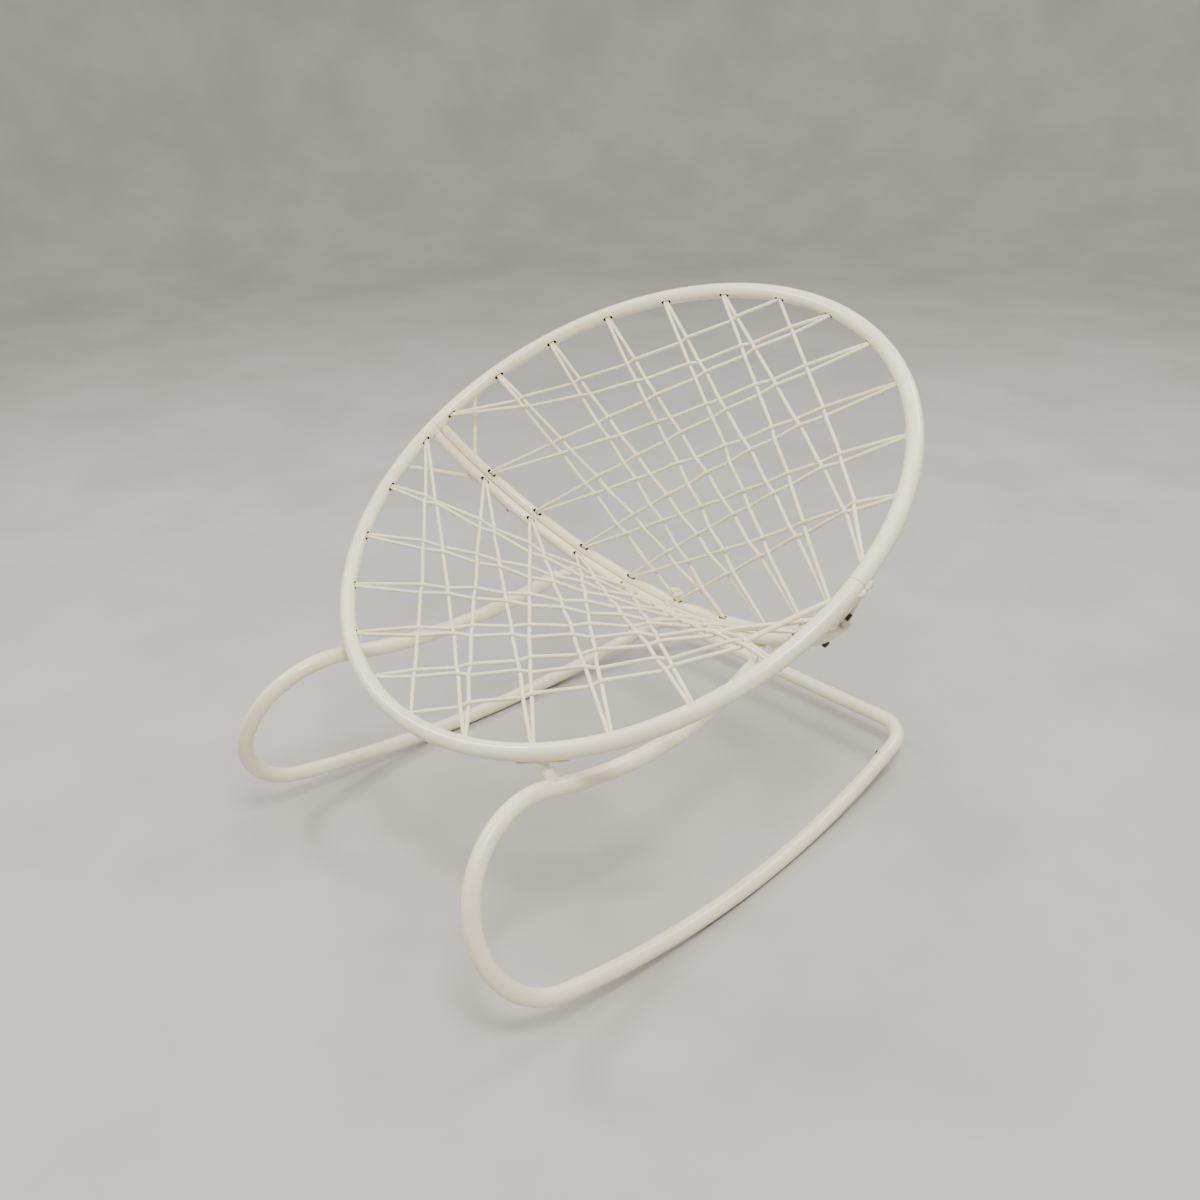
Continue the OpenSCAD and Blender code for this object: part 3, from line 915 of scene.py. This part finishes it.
    def _weave(
        self,
        chains: list[tuple[np.ndarray, list[int], np.ndarray]],
        keys: list[tuple[int, int]],
        points: np.ndarray,
        split: int,
    ) -> list[np.ndarray]:
        """Lifts the parts over and under each other by turns.

        Args:
            chains: The stretches of part A and then part B.
            keys: The crossings' pairs of stretches.
            points: The crossings' places.
            split: Number of stretches in part A.

        Returns:
            Each stretch's corner points.
        """
        way = np.zeros((2, len(points), 3))
        for n, (start, inner, end) in enumerate(chains):
            places = np.array([start, *points[inner], end])
            for m, point in enumerate(inner):
                step = places[m + 2] - places[m]
                way[0 if n < split else 1, point] = step / np.linalg.norm(step)
        normal = np.cross(way[0], way[1])
        normal /= np.linalg.norm(normal, axis=1)[:, None]
        normal *= np.sign(normal[:, 2])[:, None]
        over = np.array([1.0 if (i + j) % 2 == 0 else -1.0 for i, j in keys])[:, None]
        lifts = (points + normal * over * self.weave_lift, points - normal * over * self.weave_lift)
        return [
            np.array([start, *lifts[0 if n < split else 1][inner], end])
            for n, (start, inner, end) in enumerate(chains)
        ]

    def slot_turn(self, slot: int, side: float) -> np.ndarray:
        """The cord's way into a slot and round inside the tube.

        Args:
            slot: The slot's number.
            side: Side on which the cord goes in.

        Returns:
            Points from the slot's mouth to the middle of the turn.
        """
        middle, out, along, radius = self.slot_frame(slot)
        share = side * self.slot_share
        depths = (radius - 1.5 * MM, radius - 4.5 * MM)
        points = [middle + out * depth + along * share for depth in depths]
        return np.array([*points, middle + out * (radius - self.turn_depth) + along * share * 0.4])

    def cord_line(self) -> tuple[np.ndarray, np.ndarray]:
        """The whole cord's middle line, and its radius along it, in the hoop's frame.

        Returns:
            The line's points and the radii.
        """
        parts = self.settle()
        corners: list[np.ndarray] = []
        for route, stretches in zip((self.route_a, self.route_b), parts):
            for n, stretch in enumerate(stretches):
                corners.append(self.slot_turn(route[n], self.side(route, n, n + 1))[::-1])
                corners.append(stretch)
                corners.append(self.slot_turn(route[n + 1], self.side(route, n + 1, n)))
        line = rounded(np.concatenate(corners), self.bend_reach, 7 * MM)
        mouths = np.array([self.mouth(slot) for slot in {*self.route_a, *self.route_b}])
        away = np.linalg.norm(line[:, None] - mouths[None], axis=2).min(1)
        share = np.clip((away - 3 * MM) / (12 * MM), 0, 1)
        radii = self.pinched_r + (self.cord_r - self.pinched_r) * share
        return line, radii

    def build(self) -> bpy.types.Object:
        """Builds the cord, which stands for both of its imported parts.

        Returns:
            The cord's piece.
        """
        line, radii = self.cord_line()
        half = self.half.name.lower()
        piece = swept_piece(f"{half}_lacing", [Sweep(self.hoop.to_chair(line), radii)], self.material)
        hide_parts(f"{half}_cord_a", f"{half}_cord_b")
        LOG.info("%s lacing: %.1f m of cord", half, Sweep(line, radii).lengths()[-1])
        return piece

    def build_knot(self) -> bpy.types.Object:
        """Ties the cord's two ends in front of the crossbar's middle slot.

        Returns:
            The knot's piece.
        """
        turn = np.linspace(0.25, 2 * math.pi - 0.25, 120)
        loop = np.stack(
            [np.sin(turn) + 2 * np.sin(2 * turn), np.cos(turn) - 2 * np.cos(2 * turn), -1.15 * np.sin(3 * turn)], 1
        )
        low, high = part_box(f"{self.half.name.lower()}_knot")
        middle = np.array((low + high) / 2)
        turned = np.array(Matrix.Rotation(0.9, 3, "X") @ Matrix.Rotation(0.4 * self.half.value, 3, "Y"))
        core = loop * self.knot_scale @ turned.T + middle
        slot = self.hoop.to_chair(self.mouth(-5)[None])[0]
        tails = []
        for end, before, way in ((core[0], core[1], -1.0), (core[-1], core[-2], 1.0)):
            out = (end - before) / np.linalg.norm(end - before)
            side = np.array([way, 0.35 * self.half.value, 0.5])
            tip = end + out * 6 * MM + side / np.linalg.norm(side) * self.knot_tail
            tails.append((end + out * 5 * MM, tip))
        line = np.concatenate([[tails[0][1], tails[0][0]], core, [tails[1][0], tails[1][1]]])
        stem = rounded(np.array([slot - (middle - slot) * 0.35, slot, middle]), 3 * MM, 2 * MM)
        line = rounded(line, 2 * MM, 3 * MM)
        half = self.half.name.lower()
        sweeps = [
            Sweep(line, np.full(len(line), 0.93 * self.cord_r)),
            Sweep(stem, np.full(len(stem), self.cord_r)),
        ]
        piece = swept_piece(f"{half}_tied_knot", sweeps, self.material)
        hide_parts(f"{half}_knot")
        return piece

    def build_slot_lips(self, material: bpy.types.Material) -> bpy.types.Object:
        """Builds the paint-filled lips round the half's slots.

        Args:
            material: Their paint.

        Returns:
            The piece.
        """
        low, high = self.lip_half_length, self.lip_half_width
        sweeps = []
        for slot in sorted({*self.route_a, *self.route_b}):
            middle, out, along, radius = self.slot_frame(slot)
            across = np.cross(out, along)
            turn = np.linspace(0, 2 * math.pi, 36, endpoint=False)
            run = np.sign(np.cos(turn)) * (low - high) + high * np.cos(turn)
            wrap = high * np.sin(turn) / radius
            ring = (
                middle
                + run[:, None] * along
                + (radius + 0.1 * MM) * (np.cos(wrap)[:, None] * out + np.sin(wrap)[:, None] * across)
            )
            lip = self.hoop.to_chair(self._on_tube(ring, slot, radius))
            sweeps.append(Sweep(lip, np.full(len(ring), self.lip_r), True, 6))
        piece = swept_piece(f"{self.half.name.lower()}_slot_lips", sweeps, material)
        return piece

    def _on_tube(self, ring: np.ndarray, slot: int, radius: float) -> np.ndarray:
        """Moves points onto the surface of the slot's bent tube.

        Args:
            ring: The points, close to the surface.
            slot: The slot's number.
            radius: The tube's radius.

        Returns:
            The points, on the surface.
        """
        if slot > 0:
            flat = ring * np.array([1.0, 1.0, 0.0])
            axis = flat / np.linalg.norm(flat, axis=1)[:, None] * self.hoop.radius
        else:
            offset = self.half.value * (self.hoop.bar_r + self.hoop.bar_gap / 2)
            hub = np.array([0.0, offset, self.hoop.bow_z])
            flat = (ring - hub) * np.array([1.0, 0.0, 1.0])
            axis = hub + flat / np.linalg.norm(flat, axis=1)[:, None] * self.hoop.bow_r
        away = ring - axis
        return axis + away / np.linalg.norm(away, axis=1)[:, None] * radius


# ---- Welds ----


@dataclass
class Welds:
    """Weld beads where tubes and rods meet."""

    hoop: Hoop
    material: bpy.types.Material
    nodes: dict[str, bpy.types.Object]
    bead_r: float = 1.9 * MM
    rod_r: float = 4 * MM
    rod_bead_r: float = 1.5 * MM
    collar_r: float = 9.4 * MM
    post_bead_r: float = 1.8 * MM
    lump_r: float = 4.9 * MM

    def __post_init__(self) -> None:
        """Starts the beads' random lumps."""
        self.rng = np.random.default_rng(SEED)

    def ring(self, node: str, origin: np.ndarray, way: np.ndarray, radius: float) -> np.ndarray | None:
        """Where a rod meets a node's surface.

        Args:
            node: The node that the rod is welded to.
            origin: A point of the rod's axis, outside the node.
            way: The direction from there to the node.
            radius: The rod's radius.

        Returns:
            The joint's points, or None where the rod misses the node.
        """
        tree = BVHTree.FromObject(self.nodes[node], bpy.context.evaluated_depsgraph_get())
        way = way / np.linalg.norm(way)
        side = np.cross(way, np.eye(3)[np.abs(way).argmin()])
        side /= np.linalg.norm(side)
        other = np.cross(way, side)
        points = []
        for turn in np.linspace(0, 2 * math.pi, 40, endpoint=False):
            start = origin + radius * (math.cos(turn) * side + math.sin(turn) * other)
            hit = tree.ray_cast(Vector(start), Vector(way), 0.2)[0]
            if hit is None:
                return None
            points.append(np.array(hit))
        return np.array(points)

    def bead(self, ring: np.ndarray, size: float) -> Sweep:
        """A lumpy bead along a joint.

        Args:
            ring: The joint's points.
            size: The bead's mean radius.

        Returns:
            The bead.
        """
        ripple = self.rng.uniform(0.78, 1.22, len(ring))
        ripple = (ripple + np.roll(ripple, 1)) / 2
        return Sweep(ring, size * ripple, True, 8)

    def rod_axis(self, node: str) -> tuple[np.ndarray, np.ndarray]:
        """A straight rod's middle, and the direction along it, from its mesh.

        Args:
            node: The rod's node.

        Returns:
            The middle and the direction, which points up.
        """
        points = np.array([v.co for v in self.nodes[node].data.vertices])
        middle = points.mean(0)
        way = np.linalg.svd(points - middle, full_matrices=False)[2][0]
        return middle, way * np.sign(way[2])

    def crossbar_joints(self) -> list[Sweep]:
        """Beads at the crossbars' ends.

        Returns:
            The beads.
        """
        beads = []
        for half in Half:
            for sign in (-1, 1):
                near = sign * (self.hoop.bow_half_angle - math.radians(4.5))
                far = sign * (self.hoop.bow_half_angle - math.radians(1.5))
                pair = self.hoop.to_chair(
                    np.array([self.hoop.bar_axis(near, half), self.hoop.bar_axis(far, half)])
                )
                ring = self.ring(f"{half.name.lower()}_rim", pair[0], pair[1] - pair[0], self.hoop.bar_r)
                if ring is not None:
                    beads.append(self.bead(ring, self.bead_r))
        return beads

    def rod_joints(self) -> list[Sweep]:
        """Beads at both ends of the brace rods, and at the posts' heads and feet.

        Returns:
            The beads.
        """
        beads = []
        for half in ("back", "seat"):
            for side in ("left", "right"):
                middle, way = self.rod_axis(f"brace_{half}_{side}")
                for node, sign in ((f"{half}_rim", 1), (f"stay_{side}", -1)):
                    ring = self.ring(node, middle, sign * way, self.rod_r)
                    if ring is not None:
                        beads.append(self.bead(ring, self.rod_bead_r))
        for side in ("left", "right"):
            middle, way = self.rod_axis(f"front_post_{side}")
            up = way if abs(way[2]) > 0.5 else np.array([0.0, 0.0, 1.0])
            for node, sign in ((f"front_saddle_{side}", 1), (f"side_frame_{side}", -1)):
                ring = self.ring(node, middle, sign * up, self.collar_r)
                if ring is not None:
                    beads.append(self.bead(ring, self.post_bead_r))
        return beads

    def seam_lumps(self) -> list[Sweep]:
        """Rough weld over the lugs on both sides of the seam.

        Returns:
            The lumps.
        """
        lumps = []
        for x_side in (-1, 1):
            for half in Half:
                run = np.linspace(1.2, 13.5, 12) * MM
                x = x_side * (np.sqrt(self.hoop.radius**2 - run**2) + self.hoop.tube_r - 1.2 * MM)
                wander = self.rng.normal(0, 0.5 * MM, (len(run), 3))
                below = np.full(len(run), -0.45 * self.hoop.tube_r)
                path = np.stack([x, half.value * run, below], 1) + wander
                swell = np.sin(np.linspace(0.5, math.pi - 0.35, len(run))) ** 0.3
                radii = self.lump_r * swell * self.rng.uniform(0.9, 1.1, len(run))
                lumps.append(Sweep(self.hoop.to_chair(path), radii, False, 14))
        return lumps

    def build(self) -> bpy.types.Object:
        """Builds all the beads as one piece.

        Returns:
            The piece.
        """
        beads = self.crossbar_joints() + self.rod_joints() + self.seam_lumps()
        LOG.info("welds: %d beads", len(beads))
        piece = swept_piece("weld_beads", beads, self.material)
        return piece


# ---- The chair ----


@dataclass
class ChairFrame:
    """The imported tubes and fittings, dressed in their finishes."""

    hoop: Hoop
    paints: Paints
    nodes: dict[str, bpy.types.Object]
    steel_nodes: tuple[str, ...] = ("front_bolts", "tongue_bolts", "stay_bolts", "spigot_screws")

    def build(self) -> None:
        """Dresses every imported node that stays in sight."""
        # Rims and crossbars get enamel with painted shade in their bores.
        bore_shade = {}
        for half in Half:
            bore_shade[f"{half.name.lower()}_rim"] = Enamel().build(self.hoop, half, True)
            bore_shade[f"{half.name.lower()}_crossbar"] = Enamel().build(self.hoop, half, False)
        for name, piece in self.nodes.items():
            material = bore_shade.get(name, self.paints.enamel)
            if name in self.steel_nodes:
                material = self.paints.steel
            piece.data.materials.clear()
            piece.data.materials.append(material)
        LOG.info("frame: %d packed nodes dressed", len(self.nodes))


@dataclass(frozen=True)
class Light:
    """A soft square lamp.

    Attributes:
        name: Its name.
        place: Where it is.
        size: Its side, in metres.
        power: Its power, in watts.
        tint: Its colour.
    """

    name: str
    place: tuple[float, float, float]
    size: float
    power: float
    tint: tuple[float, float, float] = (1.0, 0.98, 0.94)

    def build(self, target: Vector) -> None:
        """Makes the lamp, which shines at the target.

        Args:
            target: The point that it shines at.
        """
        data = bpy.data.lights.new(self.name, "AREA")
        data.energy, data.size, data.color = self.power, self.size, self.tint
        lamp = bpy.data.objects.new(self.name, data)
        lamp.location = self.place
        lamp.rotation_euler = (target - Vector(self.place)).to_track_quat("-Z", "Y").to_euler()
        bpy.context.scene.collection.objects.link(lamp)


@dataclass(frozen=True)
class Studio:
    """The plain pale floor, the soft lights and the camera."""

    camera_place: tuple[float, float, float] = (1.2147, -1.0420, 1.1975)
    camera_target: tuple[float, float, float] = (0.0439, -0.0123, 0.3987)
    camera_roll: float = math.radians(-2.10)
    lens: float = 34.47
    sensor: float = 36.0
    floor_r: float = 4.6
    cove_r: float = 1.8
    cove_sides: int = 128
    world: tuple[float, float, float, float] = (0.66, 0.66, 0.65, 1.0)
    world_strength: float = 0.42
    lights: tuple[Light, ...] = (
        Light("key", (1.5, -0.9, 3.0), 0.7, 80),
        Light("side", (-2.2, -1.2, 2.6), 0.8, 55),
        Light("back", (0.4, 2.4, 2.8), 0.9, 45),
        Light("ceiling", (0.0, 0.0, 5.4), 8.0, 330),
    )

    def build(self) -> None:
        """Makes the stage and the camera."""
        self._floor()
        world = bpy.data.worlds.new("studio")
        world.use_nodes = True
        background = world.node_tree.nodes["Background"]
        background.inputs["Color"].default_value = self.world
        background.inputs["Strength"].default_value = self.world_strength
        bpy.context.scene.world = world
        for light in self.lights:
            light.build(Vector(self.camera_target))
        self._camera()

    def _floor(self) -> None:
        """Makes the round floor, whose edge curves up into a plain backdrop."""
        rise = np.linspace(0, math.pi / 2, 17)
        reach = [0.6, 1.5, 3.0, *(self.floor_r + self.cove_r * np.sin(rise)), self.floor_r + self.cove_r]
        height = [0.0, 0.0, 0.0, *(self.cove_r * (1 - np.cos(rise))), self.cove_r + 1.6]
        turn = np.arange(self.cove_sides) * 2 * math.pi / self.cove_sides
        points = [(0.0, 0.0, 0.0)]
        for r, z in zip(reach, height):
            points += [(r * math.cos(t), r * math.sin(t), z) for t in turn]
        count = self.cove_sides
        faces = [(0, 1 + i, 1 + (i + 1) % count) for i in range(count)]
        for row in range(len(reach) - 1):
            near, far = 1 + row * count, 1 + (row + 1) * count
            for i in range(count):
                beside = (i + 1) % count
                faces.append((near + i, far + i, far + beside, near + beside))
        mesh = bpy.data.meshes.new("floor")
        mesh.from_pydata(points, [], faces)
        mesh.polygons.foreach_set("use_smooth", [True] * len(mesh.polygons))
        mesh.materials.append(PlainFloor().build())
        floor = bpy.data.objects.new("floor", mesh)
        bpy.context.scene.collection.objects.link(floor)

    def _camera(self) -> None:
        """Makes the camera."""
        data = bpy.data.cameras.new("camera")
        data.lens, data.sensor_width = self.lens, self.sensor
        place, target = Vector(self.camera_place), Vector(self.camera_target)
        ahead = (target - place).normalized()
        level = ahead.cross(Vector((0, 0, 1))).normalized()
        up = level.cross(ahead)
        right = level * math.cos(self.camera_roll) + up * math.sin(self.camera_roll)
        above = right.cross(ahead)
        turn = Matrix((right, above, -ahead)).transposed()
        camera = bpy.data.objects.new("camera", data)
        camera.matrix_world = Matrix.Translation(place) @ turn.to_4x4()
        bpy.context.scene.collection.objects.link(camera)
        bpy.context.scene.camera = camera


def main() -> None:
    """Builds the chair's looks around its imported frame."""
    logging.basicConfig(level=logging.INFO, format="%(name)s: %(message)s")
    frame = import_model()
    Studio().build()
    hoop = Hoop.from_frame()
    tilt = math.degrees(hoop.tilt)
    LOG.info("hoop: radius %.4f m, tilt %.2f degrees, bow %.4f m", hoop.radius, tilt, hoop.bow_depth)
    paints = Paints(hoop)
    ChairFrame(hoop, paints, frame["nodes"]).build()
    for half in Half:
        lacing = Lacing(hoop, half, paints.cord)
        lacing.build()
        lacing.build_knot()
        lacing.build_slot_lips(paints.enamel)
    Welds(hoop, paints.weld, frame["nodes"]).build()


if __name__ == "__main__":
    main()
